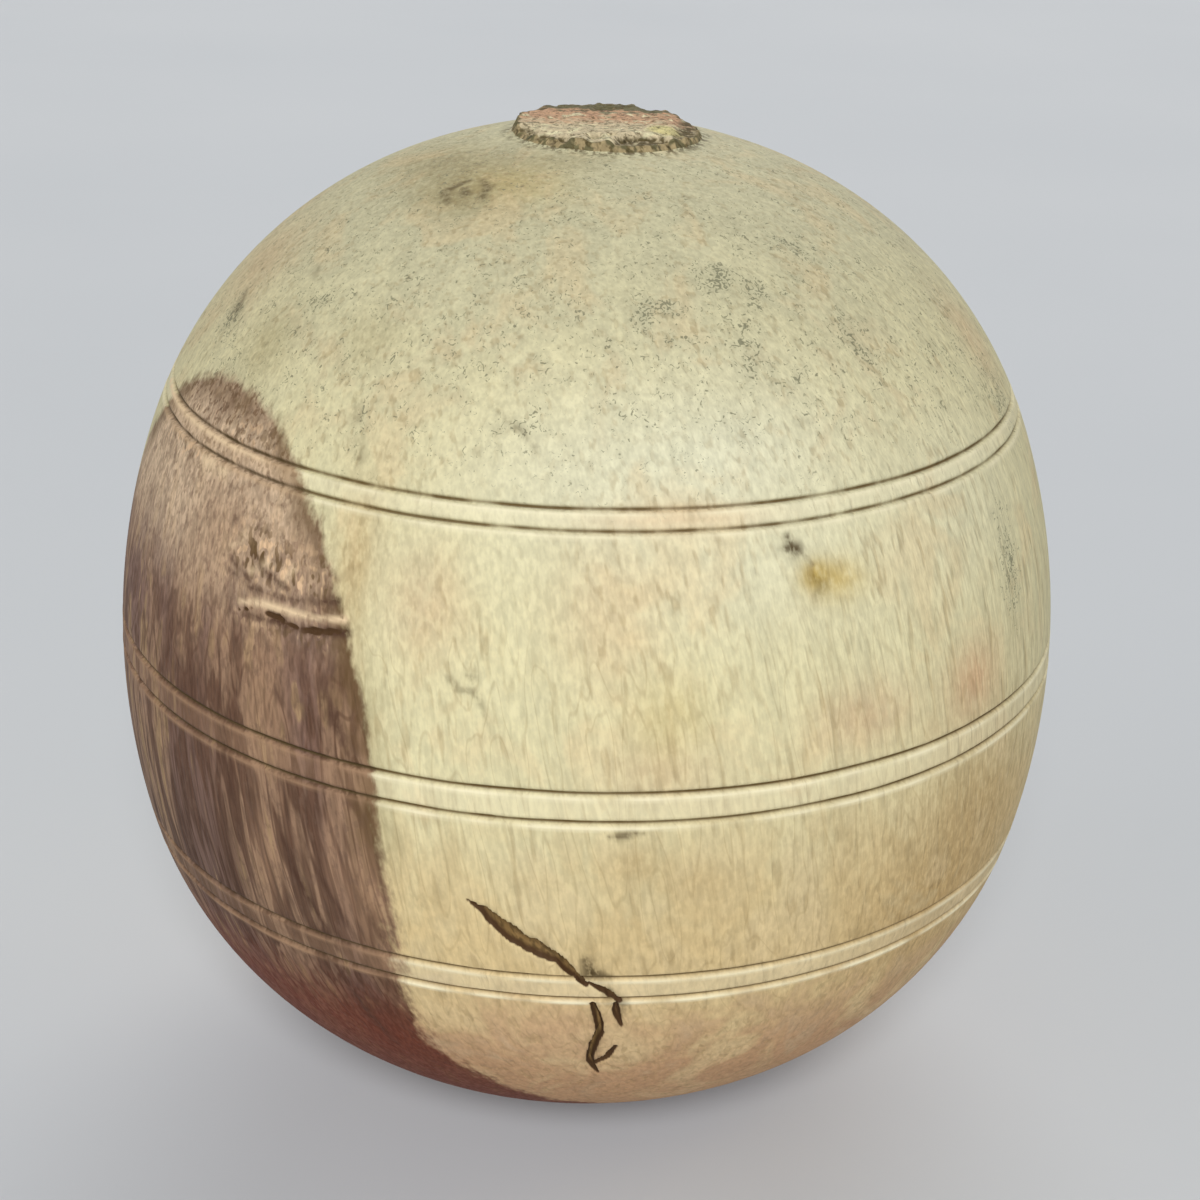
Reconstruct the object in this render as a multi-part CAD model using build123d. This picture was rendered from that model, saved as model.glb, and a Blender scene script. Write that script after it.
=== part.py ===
from build123d import *
from math import acos, cos, degrees, radians, sin
import os

# A ball turned from one piece of wood, with the nib that it was cut off by left on top.
# Millimetres, +Z up along the turning axis, origin in the middle of the ball, front towards -Y.

# The outline is five arcs that run into each other, from the crown down to the base.
# The base arc's radius follows from the others, because the outline closes on the axis.
crown_height = 42.4
crown_radius = 45.0
shoulder_radius = 35.8
belly_radius = 58.0
haunch_radius = 33.5

# Where each arc ends, as the angle between straight up and the surface's normal, in degrees.
crown_end = 18.0
shoulder_end = 70.0
belly_end = 102.5
haunch_end = 164.0

# Scored lines, in three pairs round the ball: heights, width across the lips and depth.
line_heights = [22.25, 20.80, 2.30, 0.0, -13.75, -15.90]
line_width = 0.60
line_depth = 0.35

# The nib: a low sawn stub, a little off the axis, with its end and its chips.
nib_radius = 7.5
nib_flare = 0.25
nib_end_height = 42.85
nib_offset = 0.6
nib_root_height = 38.0
chip_depth = 0.85
slope_run = 2.6
slope_drop = 0.75

# Chips out of the nib's rim: turn round the axis, radius of the chip, how far it is out of the rim.
nib_chips = [(24.0, 2.1, 0.2), (-62.0, 1.1, 0.4), (151.0, 1.6, 0.7)]

# Cracks and tears. Each is a list of stations along it: turn round the axis in degrees from the
# front towards +X, height, width across and depth.
gash = [
    (-12.0, -7.2, 0.20, 0.15),
    (-9.9, -8.1, 0.75, 0.80),
    (-8.2, -9.3, 1.25, 1.30),
    (-6.3, -10.3, 1.40, 1.50),
    (-4.0, -11.2, 1.05, 1.40),
    (-2.0, -12.0, 0.85, 1.10),
    (-0.6, -13.2, 0.70, 0.90),
    (1.0, -14.4, 0.45, 0.60),
]
gash_foot = [
    (1.8, -14.3, 0.30, 0.30),
    (3.4, -15.1, 0.65, 0.70),
    (4.9, -16.1, 0.35, 0.45),
]
lower_crack = [
    (1.9, -16.6, 0.35, 0.40),
    (2.6, -18.1, 0.55, 0.75),
    (3.0, -19.6, 0.55, 0.80),
    (2.2, -21.3, 0.60, 0.80),
    (1.9, -23.6, 0.50, 0.70),
    (3.2, -25.4, 0.20, 0.25),
]
side_crack = [
    (4.5, -16.6, 0.35, 0.40),
    (4.7, -17.5, 0.50, 0.55),
    (5.4, -18.9, 0.25, 0.30),
]
hook_crack = [
    (5.0, -21.5, 0.25, 0.30),
    (4.1, -22.9, 0.50, 0.60),
    (2.3, -24.0, 0.35, 0.45),
]
torn_fibre = [
    (-42.5, 11.2, 0.15, 0.15),
    (-39.5, 11.7, 0.45, 0.35),
    (-36.0, 11.6, 0.60, 0.45),
    (-32.5, 11.3, 0.70, 0.50),
    (-29.5, 11.7, 0.60, 0.40),
    (-26.6, 12.2, 0.25, 0.20),
]
left_nick = [
    (-22.9, 2.6, 0.30, 0.20),
    (-22.5, 1.2, 0.45, 0.30),
    (-22.2, -0.2, 0.30, 0.20),
]
right_nick = [
    (30.0, 2.6, 0.30, 0.20),
    (30.4, 1.2, 0.45, 0.30),
    (30.6, -0.2, 0.30, 0.20),
]
cracks = [
    gash,
    gash_foot,
    lower_crack,
    side_crack,
    hook_crack,
    torn_fibre,
    left_nick,
    right_nick,
]

# How far every cutting shape stands out of the surface that it cuts.
overcut = 0.4


# Each arc as its centre's radius and height, its own radius, and its first and last normals.
def outline_arcs():
    ends = [radians(end) for end in (0.0, crown_end, shoulder_end, belly_end, haunch_end, 180.0)]
    radii = [crown_radius, shoulder_radius, belly_radius, haunch_radius, None]
    r, z = 0.0, crown_height
    arcs = []
    for radius, first, last in zip(radii, ends, ends[1:]):
        radius = radius or r / sin(first)
        centre_r = r - radius * sin(first)
        centre_z = z - radius * cos(first)
        arcs.append((centre_r, centre_z, radius, first, last))
        r = centre_r + radius * sin(last)
        z = centre_z + radius * cos(last)
    return arcs


arcs = outline_arcs()


def arc_point(arc, normal):
    centre_r, centre_z, radius = arc[:3]
    return centre_r + radius * sin(normal), centre_z + radius * cos(normal)


# Radius of the ball at a height, and the angle of its normal there.
def on_outline(height):
    for arc in arcs:
        centre_z, radius, first, last = arc[1:]
        if centre_z + radius * cos(last) <= height <= centre_z + radius * cos(first):
            normal = acos((height - centre_z) / radius)
            return arc_point(arc, normal)[0], normal
    raise ValueError(f"height {height} is off the ball")


# Point on the ball and the outward normal there, for a turn round the axis and a height.
def on_ball(turn, height):
    r, normal = on_outline(height)
    side = Vector(sin(radians(turn)), -cos(radians(turn)), 0)
    return side * r + Vector(0, 0, height), side * sin(normal) + Vector(0, 0, cos(normal))


def turned_body():
    edges = []
    for arc in arcs:
        first, last = arc[3:]
        stops = [arc_point(arc, angle) for angle in (first, (first + last) / 2, last)]
        edges.append(ThreePointArc(*stops))
    crown, base = edges[0] @ 0, edges[-1] @ 1
    edges.append(Line(base, crown))
    return revolve(Plane.XZ * make_face(edges), Axis.Z)


# One scored line: a V cut square to the surface, all the way round.
def scored_line(height):
    r, normal = on_outline(height)
    surface = Vector(r, height)
    outward = Vector(sin(normal), cos(normal))
    down = Vector(cos(normal), -sin(normal))
    lip = down * (line_width / 2 * (line_depth + overcut) / line_depth)
    root = surface - outward * line_depth
    mouth = surface + outward * overcut
    section = make_face(Polyline(root, mouth + lip, mouth - lip, close=True))
    return revolve(Plane.XZ * section, Axis.Z)


# One crack: V sections set across it at its stations and joined up.
def crack(stations):
    points = [on_ball(turn, height)[0] for turn, height, width, depth in stations]
    sections = []
    for index, (turn, height, width, depth) in enumerate(stations):
        surface, outward = on_ball(turn, height)
        along = points[min(index + 1, len(points) - 1)] - points[max(index - 1, 0)]
        lip = outward.cross(along).normalized() * (width / 2 * (depth + overcut) / depth)
        root = surface - outward * depth
        mouth = surface + outward * overcut
        sections.append(Face(Wire.make_polygon([root, mouth + lip, mouth - lip], close=True)))
    return loft(sections, ruled=True)


def nib():
    height = nib_end_height - nib_root_height
    stub = Cone(nib_radius + nib_flare, nib_radius, height)
    return Pos(nib_offset, 0, nib_root_height + height / 2) * stub


# Chips broken out of the nib's rim, down to the crown.
def rim_chips():
    height = chip_depth + overcut
    cuts = []
    for turn, radius, out in nib_chips:
        reach = nib_radius + out
        x = nib_offset + reach * sin(radians(turn))
        y = -reach * cos(radians(turn))
        cuts.append(Pos(x, y, nib_end_height - chip_depth + height / 2) * Cylinder(radius, height))
    return cuts


# The nib's right-hand side, split away to a slope.
def rim_slope():
    span = 4 * nib_radius
    start = Vector(nib_offset + nib_radius - slope_run, 0, nib_end_height)
    slope = Plane(start, x_dir=(slope_run, 0, -slope_drop), z_dir=(slope_drop, 0, slope_run))
    return slope * Pos(span / 2, 0, span / 2) * Box(span, span, span)


def turned_ball():
    stub = nib() - rim_chips() - rim_slope()
    ball = turned_body() - [scored_line(height) for height in line_heights]
    return (ball - [crack(stations) for stations in cracks]) + stub


ball = turned_ball()
ball.label = "turned_ball"
os.makedirs("parts", exist_ok=True)
export_step(ball, "parts/turned_ball.step")

base_radius = arcs[-1][2]
widest = max(arc_point(arc, radians(90))[0] for arc in arcs if arc[3] <= radians(90) <= arc[4])
box = ball.bounding_box()
print("base arc radius", round(base_radius, 2))
print("width", round(2 * widest, 2), "height", round(box.size.Z, 2), "box", box)
print("solids", len(ball.solids()), "volume", round(ball.volume), "centre", ball.center())
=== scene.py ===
from math import cos, radians, sin

import bmesh
import bpy
import numpy as np
from mathutils import Matrix, Vector, noise


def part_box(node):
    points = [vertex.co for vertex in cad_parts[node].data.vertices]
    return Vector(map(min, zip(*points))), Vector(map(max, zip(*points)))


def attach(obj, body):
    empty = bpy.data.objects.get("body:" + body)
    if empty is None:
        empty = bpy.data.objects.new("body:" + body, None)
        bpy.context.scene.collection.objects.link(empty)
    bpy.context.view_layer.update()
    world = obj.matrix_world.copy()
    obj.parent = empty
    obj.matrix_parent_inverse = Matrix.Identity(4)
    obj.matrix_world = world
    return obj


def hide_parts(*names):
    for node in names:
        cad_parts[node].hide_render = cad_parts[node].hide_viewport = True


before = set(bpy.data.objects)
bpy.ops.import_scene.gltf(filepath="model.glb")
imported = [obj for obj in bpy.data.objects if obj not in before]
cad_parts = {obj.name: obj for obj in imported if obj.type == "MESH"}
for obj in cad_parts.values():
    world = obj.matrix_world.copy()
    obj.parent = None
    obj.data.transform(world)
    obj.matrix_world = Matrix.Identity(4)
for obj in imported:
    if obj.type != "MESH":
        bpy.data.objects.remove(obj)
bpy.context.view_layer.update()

mm = 0.001  # shapes below are in millimetres, Blender works in metres


def addObject(name, data):
    made = bpy.data.objects.new(name, data)
    bpy.context.scene.collection.objects.link(made)
    return made


def smooth(low, high, value):
    share = np.clip((value - low) / (high - low), 0.0, 1.0)
    return share * share * (3 - 2 * share)


# Smooth noise from -1 to 1 at each point, with features about size millimetres across
def noiseAt(points, size, seed=0):
    shift = Vector((seed * 17.3, seed * 5.1, seed * 9.7))
    return np.array([noise.noise(Vector(point) / size + shift) for point in points])


# The turned outline: arcs from the crown to the base, as on the solid
ballShape = {
    "crownHeight": 42.4,
    "arcRadii": (45.0, 35.8, 58.0, 33.5),
    "arcEnds": (18.0, 70.0, 102.5, 164.0),  # angle of the surface's normal, from straight up
    "frontTurn": 100.0,  # columns are closer together out to this turn on both sides
    "frontStep": 0.8,
    "backStep": 1.6,
    "rowStep": 1.0,
    "closestRows": 0.05,
    "fineCuts": 3,  # cuts across each edge of a fine area
    "wobble": 0.05,  # how far hand turning leaves it out of round
    "wobbleSize": 22.0,
}


def outlineArcs():
    ends = [radians(end) for end in (0.0, *ballShape["arcEnds"], 180.0)]
    r, z = 0.0, ballShape["crownHeight"]
    arcs = []
    for radius, first, last in zip((*ballShape["arcRadii"], None), ends, ends[1:]):
        radius = radius or r / sin(first)  # the base arc closes on the axis
        centreR, centreZ = r - radius * sin(first), z - radius * cos(first)
        arcs.append((centreR, centreZ, radius, first, last))
        r, z = centreR + radius * sin(last), centreZ + radius * cos(last)
    return np.array(arcs)


arcs = outlineArcs()
arcStarts = np.concatenate([[0.0], np.cumsum(arcs[:, 2] * (arcs[:, 4] - arcs[:, 3]))])


# Radius, height and normal angle at a distance along the outline from the crown
def outlineAt(along):
    along = np.asarray(along, float)
    index = np.clip(np.searchsorted(arcStarts, along, side="right") - 1, 0, len(arcs) - 1)
    centreR, centreZ, radius, first, last = arcs[index].T
    normal = first + (along - arcStarts[index]) / radius
    return centreR + radius * np.sin(normal), centreZ + radius * np.cos(normal), normal


fineAlong = np.linspace(0.0, arcStarts[-1], 6000)
fineRadius, fineHeight = outlineAt(fineAlong)[:2]
crownSamples = 1000  # of the fine samples, these lie on the crown, where the radius only grows


def alongAtHeight(height):
    return np.interp(-np.asarray(height, float), -fineHeight, fineAlong)


def ballPoint(turn, along):
    r, z = outlineAt(along)[:2]
    return np.array([sin(radians(turn)) * r, -cos(radians(turn)) * r, z])


# Six lines in three pairs, from the top down
scoredLines = {
    "heights": (22.25, 20.80, 2.30, 0.0, -13.75, -15.90),
    "halfWidth": 0.30,
    "depth": 0.35,
    "shallowest": (0.62, 0.62, 0.80, 0.75, 0.60, 0.80),  # share of the depth left at the shallowest
    "shades": (0.85, 0.80, 0.95, 0.90, 0.95, 1.0),  # how dark the painted shade in each line is
    "lips": (0.50, 0.55, 0.75, 0.80, 0.65, 1.0),  # how strong the painted highlight on the edge under each line is
    "burr": 0.035,
    "wander": 0.05,  # how far a line strays up and down
    "reach": 1.2,  # how far from a line its marks can be
    "shadePlace": -0.04,  # from the middle of the line, down the outline
    "shadeWidth": 0.15,
    "lipPlace": 0.40,
    "lipWidth": 0.18,
    # Where the mesh has rows beside each line
    "rows": (-0.70, -0.48, -0.30, -0.18, -0.08, 0.02, 0.14, 0.30, 0.42, 0.56, 0.80),
}

# The low sawn stub on top, a little off the axis
nibShape = {
    "radius": 7.5,
    "flare": 0.25,
    "endHeight": 42.85,
    "offset": 0.6,
    "settle": 6.0,  # width of the ring in which the crown takes up the offset
    "chipFloor": 42.0,
    "chips": ((24.0, 2.5, 0.2), (-62.0, 1.1, 0.4), (151.0, 1.6, 0.7)),  # turn, radius, how far out of the rim
    "dents": (  # across, back, radius and depth of the torn places on the end
        (-1.0, -5.6, 0.9, 0.45),
        (0.4, -5.0, 0.5, 0.60),
        (-5.7, -4.2, 0.5, 0.50),
        (4.2, -5.6, 0.8, 0.40),
        (-3.4, -6.3, 0.7, 0.35),
        (-0.4, 5.6, 1.3, 0.30),
    ),
    "slopeRun": 2.6,
    "slopeDrop": 0.75,
    "wallRows": 7,
    "endRows": 26,
    "roughness": 0.22,
    "crumble": 0.55,
    "crumbleReach": 2.2,  # from the rim inwards
    "splinters": 0.40,
    "footShade": 0.5,  # width of the ring of painted shade round the foot
}

nibFoot = nibShape["radius"] + nibShape["flare"]
nibFootAlong = float(np.interp(nibFoot, fineRadius[:crownSamples], fineAlong[:crownSamples]))


# Nib end and wall first, then down the outline, with extra rows at each scored line
def rowPositions():
    rows = [line + offset for line in alongAtHeight(scoredLines["heights"]) for offset in scoredLines["rows"]]
    rows = sorted(rows + [nibFootAlong])
    kept = [rows[0]]
    for row in rows[1:]:
        if row - kept[-1] > ballShape["closestRows"]:
            kept.append(row)
    kept.append(arcStarts[-1])
    full = []
    for here, there in zip(kept, kept[1:]):
        steps = max(1, round((there - here) / ballShape["rowStep"]))
        full += [here + (there - here) * step / steps for step in range(steps)]
    # The nib's wall and its sawn end each take up one unit of the distance
    wall = [nibFootAlong - (step + 1) / nibShape["wallRows"] for step in range(nibShape["wallRows"])]
    end = [wall[-1] - (step + 1) / nibShape["endRows"] for step in range(nibShape["endRows"] - 1)]
    return sorted(end) + sorted(wall) + full


def columnTurns():
    front = ballShape["frontTurn"]
    closer = np.arange(-front, front, ballShape["frontStep"])
    wider = np.arange(front, 360 - front, ballShape["backStep"])
    return [*closer, *wider]


# Where the mesh is made finer: lowest and highest turn, then heights
fineAreas = {
    "cracks": (-14.0, 8.0, -27.0, -6.0),
    "scar": (-46.0, -24.0, 9.5, 17.0),
    "hook": (-16.0, -8.0, 6.0, 11.5),
    "dash": (2.0, 8.0, -1.9, -0.5),
    "speck": (22.0, 29.0, 15.0, 20.4),
    "knot": (-47.0, -31.0, 38.2, 40.8),
    "scrape": (-13.5, -5.5, 25.0, 28.5),
}


# A flat sheet of (turn, distance along the outline), closed round the back, with a point at each end
def flatSheet():
    rows, turns = rowPositions(), columnTurns()
    sheet = bmesh.new()
    grid = [[sheet.verts.new((turn, row, 0.0)) for turn in turns] for row in rows]
    top = sheet.verts.new((0.0, rows[0] - 1.0 / nibShape["endRows"], 1.0))
    bottom = sheet.verts.new((0.0, arcStarts[-1], 1.0))
    for column in range(len(turns)):
        beside = (column + 1) % len(turns)
        sheet.faces.new((top, grid[0][column], grid[0][beside]))
        sheet.faces.new((bottom, grid[-1][beside], grid[-1][column]))
        for upper, lower in zip(grid, grid[1:]):
            sheet.faces.new((upper[column], lower[column], lower[beside], upper[beside]))
    for left, right, low, high in fineAreas.values():
        start, stop = alongAtHeight(high), alongAtHeight(low)
        inside = {vert for vert in sheet.verts if left <= vert.co.x <= right and start <= vert.co.y <= stop}
        edges = [edge for edge in sheet.edges if edge.verts[0] in inside and edge.verts[1] in inside]
        cuts = ballShape["fineCuts"]
        bmesh.ops.subdivide_edges(sheet, edges=edges, cuts=cuts, use_grid_fill=True)
    sheet.verts.index_update()
    return sheet


# No crack or mark reaches further than this from its middle, in degrees and in millimetres
nearTurn, nearAlong = 22.0, 15.0


# For each leg of each route: the points near it, how far off they are, and the width and value there
def besideRoutes(turn, along, routes):
    for route in routes.values():
        turns, heights, widths, values = np.array(route).T
        reach = alongAtHeight(heights)
        radius = outlineAt(reach)[0]
        near = (np.abs(turn - turns.mean()) < nearTurn) & (np.abs(along - reach.mean()) < nearAlong)
        index = np.flatnonzero(near)
        for leg in range(len(route) - 1):
            across = np.radians(turn[index] - turns[leg]) * radius[leg]
            down = along[index] - reach[leg]
            stepAcross = np.radians(turns[leg + 1] - turns[leg]) * radius[leg]
            stepDown = reach[leg + 1] - reach[leg]
            share = (across * stepAcross + down * stepDown) / (stepAcross ** 2 + stepDown ** 2)
            share = np.clip(share, 0.0, 1.0)
            distance = np.hypot(across - share * stepAcross, down - share * stepDown)
            width = widths[leg] + share * (widths[leg + 1] - widths[leg])
            yield index, distance, width, values[leg] + share * (values[leg + 1] - values[leg])


# Cracks: turn from the front in degrees, height, width and depth at each station
crackRoutes = {
    "gash": (
        (-12.0, -7.2, 0.20, 0.15),
        (-9.9, -8.1, 0.85, 0.80),
        (-8.2, -9.3, 1.40, 1.30),
        (-6.3, -10.3, 1.50, 1.50),
        (-4.0, -11.2, 1.20, 1.40),
        (-2.0, -12.0, 0.90, 1.10),
        (-0.6, -13.2, 0.75, 0.90),
        (1.0, -14.4, 0.50, 0.60),
    ),
    "gashFoot": ((1.4, -14.2, 0.35, 0.30), (3.4, -15.1, 0.75, 0.70), (4.9, -16.1, 0.50, 0.45)),
    "lowerCrack": (
        (1.9, -16.4, 0.50, 0.45),
        (2.6, -18.1, 0.70, 0.75),
        (3.0, -19.6, 0.70, 0.80),
        (2.2, -21.3, 0.75, 0.80),
        (1.9, -23.6, 0.65, 0.70),
        (3.2, -25.4, 0.25, 0.25),
    ),
    "sideCrack": ((4.5, -16.4, 0.50, 0.45), (4.7, -17.5, 0.70, 0.55), (5.4, -18.9, 0.40, 0.30)),
    "hookCrack": ((5.0, -21.5, 0.40, 0.30), (4.1, -22.9, 0.65, 0.60), (2.3, -24.0, 0.50, 0.45)),
    "tornFibre": (
        (-42.5, 11.2, 0.15, 0.15),
        (-39.5, 11.8, 0.40, 0.35),
        (-36.0, 11.7, 0.50, 0.45),
        (-32.5, 11.4, 0.55, 0.50),
        (-29.5, 11.7, 0.50, 0.40),
        (-26.6, 12.2, 0.25, 0.20),
    ),
    "leftNick": ((-22.9, 2.6, 0.25, 0.10), (-22.5, 1.2, 0.40, 0.18), (-22.2, -0.2, 0.25, 0.10)),
    "rightNick": ((30.0, 2.6, 0.25, 0.10), (30.4, 1.2, 0.40, 0.18), (30.6, -0.2, 0.25, 0.10)),
}

crackEdge = {
    "ragged": 0.35,  # how far the edge strays, as a share of the width
    "raggedSize": 0.7,
    "tornSize": 1.3,  # of the gaps where the torn fibres run out
    "roundness": 0.8,  # under one gives a rounder bed than a V
}


# Depth of the cracks, and how dark they are: the nicks across the middle pair are clean
def crackDepths(turn, along, points):
    depths, shades = np.zeros(len(turn)), np.zeros(len(turn))
    ragged = 1 + crackEdge["ragged"] * noiseAt(points, crackEdge["raggedSize"], seed=3)
    torn = smooth(-0.30, 0.15, noiseAt(points, crackEdge["tornSize"], seed=4))
    for name, route in crackRoutes.items():
        share = torn if name == "tornFibre" else np.ones(len(turn))
        for index, distance, width, deepest in besideRoutes(turn, along, {name: route}):
            inside = np.clip(1 - distance / (width / 2 * ragged[index]), 0.0, 1.0)
            depth = share[index] * deepest * inside ** crackEdge["roundness"]
            depths[index] = np.maximum(depths[index], depth)
            if not name.endswith("Nick"):
                shades[index] = np.maximum(shades[index], depth)
    return depths, shades


# Thin dark marks: turn, height, width and strength at each station
darkMarks = {
    "hookBlot": ((-14.4, 10.1, 0.5, 0.5), (-13.6, 9.6, 0.5, 0.4)),
    "hookSpot": ((-12.5, 10.5, 0.4, 0.4), (-11.8, 10.3, 0.5, 0.4)),
    "hook": ((-13.7, 9.4, 0.4, 0.4), (-11.7, 9.4, 0.5, 0.5), (-10.6, 8.3, 0.4, 0.3), (-10.0, 7.0, 0.3, 0.2)),
    "dash": ((3.0, -1.05, 0.4, 0.7), (5.0, -0.9, 0.55, 0.9), (6.6, -0.8, 0.3, 0.5)),
    "speck": ((23.0, 19.1, 0.6, 0.9), (24.3, 19.0, 0.9, 1.0)),
    "speckTop": ((23.3, 19.9, 0.5, 0.9), (23.9, 18.9, 0.8, 1.0)),
    "speckTail": ((24.3, 19.0, 0.4, 0.7), (26.1, 17.8, 0.3, 0.6)),
    "yellowCore": ((25.9, 16.9, 0.7, 0.30), (27.2, 16.3, 0.8, 0.35), (26.0, 15.6, 0.5, 0.30)),
    "knotLeft": ((-43.0, 40.0, 0.5, 0.6), (-45.5, 39.3, 0.7, 0.8), (-40.6, 38.8, 0.6, 0.6)),
    "knotMiddle": ((-40.6, 39.6, 0.6, 0.6), (-38.6, 39.4, 0.8, 0.8)),
    "knotRight": ((-38.6, 40.1, 0.5, 0.6), (-34.5, 39.9, 0.7, 0.9), (-32.5, 39.3, 0.5, 0.6)),
    # Painted shadow under the light ridge of the scar
    "scarShadow": (
        (-41.0, 11.0, 0.4, 0.7),
        (-37.0, 11.4, 0.6, 1.0),
        (-33.5, 11.4, 0.5, 0.9),
        (-30.5, 11.5, 0.5, 0.8),
        (-26.8, 12.0, 0.7, 1.0),
    ),
    "scarAbove": (
        (-45.0, 13.7, 0.4, 0.6),
        (-40.9, 13.1, 0.5, 0.7),
        (-36.0, 13.2, 0.5, 0.6),
        (-31.9, 13.5, 0.5, 0.7),
        (-28.5, 14.1, 0.7, 0.9),
    ),
    "grainLeft": ((-44.0, 4.5, 0.4, 0.6), (-42.4, -2.6, 0.5, 0.8), (-41.6, -6.5, 0.3, 0.5)),
    "grainMiddle": (
        (-35.7, -3.0, 0.3, 0.4),
        (-33.2, -8.5, 0.6, 0.9),
        (-30.0, -12.7, 0.5, 0.8),
        (-28.5, -15.0, 0.3, 0.5),
    ),
    "grainRight": ((-32.1, -5.0, 0.3, 0.4), (-28.9, -9.1, 0.5, 0.8), (-25.9, -13.0, 0.4, 0.6)),
    "grainEdge": ((-29.7, 8.5, 0.5, 0.5), (-27.2, 5.2, 0.9, 0.9), (-25.2, 2.9, 0.5, 0.7)),
    "grainLow": ((-25.0, -6.5, 0.3, 0.4), (-22.8, -11.5, 0.4, 0.7), (-21.5, -14.0, 0.3, 0.4)),
    "grainFoot": ((-29.0, -17.0, 0.4, 0.6), (-26.5, -22.0, 0.7, 0.9), (-24.5, -25.0, 0.5, 0.6)),
    "hatchOne": ((-45.0, 14.6, 0.5, 0.7), (-41.5, 13.6, 0.6, 0.8)),
    "hatchTwo": ((-42.5, 15.6, 0.5, 0.6), (-38.2, 14.4, 0.6, 0.8)),
    "hatchThree": ((-37.5, 14.3, 0.6, 0.7), (-35.0, 13.9, 0.6, 0.8)),
    "hatchFour": ((-46.0, 17.3, 0.4, 0.4), (-43.5, 16.9, 0.5, 0.6)),
    "crackHalo": ((2.2, -17.0, 0.9, 0.35), (3.0, -19.6, 1.1, 0.40), (2.0, -23.6, 0.9, 0.35)),
    "sideHalo": ((3.6, -15.1, 0.8, 0.8), (5.2, -16.4, 0.9, 0.6), (5.2, -18.6, 0.7, 0.35)),
    "scrape": ((-12.3, 27.9, 0.4, 0.3), (-9.1, 26.9, 0.5, 0.4), (-6.7, 25.8, 0.4, 0.4)),
    "streakOne": ((-32.6, 27.2, 0.4, 0.35), (-31.5, 26.2, 0.6, 0.45)),
    "streakTwo": ((-30.2, 25.0, 0.4, 0.4), (-29.4, 23.7, 0.6, 0.45)),
    "leftSmudge": ((-70.5, 30.1, 1.1, 0.55), (-68.3, 29.3, 1.3, 0.6)),
    "upperSpot": ((-55.9, 33.8, 0.6, 0.4), (-55.2, 33.5, 0.7, 0.4)),
    "lowDot": ((-17.4, -7.8, 0.5, 0.5), (-17.0, -8.3, 0.4, 0.4)),
    "rightDot": ((37.6, -10.7, 0.4, 0.5), (38.0, -11.0, 0.4, 0.4)),
    "crackBlot": ((0.9, -11.9, 0.8, 0.8), (1.6, -13.2, 1.5, 1.0), (3.6, -13.6, 0.6, 0.7)),
}

# Light ridges and flecks, given in the same way
lightMarks = {
    "scarRidge": (
        (-42.5, 11.8, 0.3, 0.6),
        (-39.0, 12.3, 0.5, 1.0),
        (-34.5, 12.4, 0.5, 1.0),
        (-31.0, 12.5, 0.3, 0.8),
        (-27.2, 12.9, 0.5, 1.0),
    ),
    "pairBand": (
        (-80.0, 21.88, 0.32, 1.0),
        (-60.0, 21.88, 0.34, 1.0),
        (-50.0, 21.88, 0.32, 0.9),
        (-43.0, 21.88, 0.28, 0.6),
    ),
    "pairLipOne": ((-55.5, 20.1, 0.7, 0.9), (-53.0, 20.2, 0.6, 0.7)),
    "pairLipTwo": ((-51.5, 20.0, 0.5, 0.9), (-50.2, 20.0, 0.6, 0.9)),
    "fleckOne": ((-45.5, 15.4, 0.5, 0.4), (-43.5, 16.4, 0.6, 0.5)),
    "fleckTwo": ((-41.5, 14.2, 0.5, 0.5), (-39.0, 15.2, 0.6, 0.5)),
    "fleckThree": ((-36.5, 14.0, 0.5, 0.4), (-35.0, 15.5, 0.5, 0.5)),
}


def markStrengths(turn, along, marks):
    strengths = np.zeros(len(turn))
    for index, distance, width, strongest in besideRoutes(turn, along, marks):
        strength = strongest * np.exp(-(distance / (0.6 * width)) ** 2)
        strengths[index] = np.maximum(strengths[index], strength)
    return strengths


# Depth of the scored lines, which get shallower here and there, with the painted shade in each line and the
# painted highlight on the edge under it
def lineDepths(along, points):
    depths, shades, lips = np.zeros(len(along)), np.zeros(len(along)), np.zeros(len(along))
    for line, height in enumerate(scoredLines["heights"]):
        offset = along - alongAtHeight(height)
        index = np.flatnonzero(np.abs(offset) < scoredLines["reach"])
        patchy = noiseAt(points[index], 2.2, seed=11 + line)
        patchy += 0.6 * noiseAt(points[index], 0.8, seed=21 + line)
        least = scoredLines["shallowest"][line]
        strength = least + (1 - least) * smooth(-0.7, 0.4, patchy)
        lip = scoredLines["lips"][line] * smooth(-0.9, 0.4, noiseAt(points[index], 3.0, seed=41 + line))
        wander = scoredLines["wander"] * noiseAt(points[index], 5.0, seed=31 + line)
        offset = offset[index] - wander
        groove = strength * np.clip(1 - np.abs(offset) / scoredLines["halfWidth"], 0.0, 1.0)
        depths[index] = np.maximum(depths[index], scoredLines["depth"] * groove)
        shade = scoredLines["shades"][line] * strength
        inShade = (offset - scoredLines["shadePlace"]) / scoredLines["shadeWidth"]
        shades[index] = np.maximum(shades[index], shade * np.exp(-inShade ** 2))
        onLip = (offset - scoredLines["lipPlace"]) / scoredLines["lipWidth"]
        lips[index] = np.maximum(lips[index], lip * np.exp(-onLip ** 2))
    return depths, shades, lips


# One between the two lines of a pair, nought elsewhere
def betweenLines(along):
    share = np.zeros(len(along))
    edges = alongAtHeight(scoredLines["heights"])
    for upper, lower in zip(edges[::2], edges[1::2]):
        share += smooth(upper + 0.1, upper + 0.5, along) * smooth(lower - 0.1, lower - 0.4, along)
    return share
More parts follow.
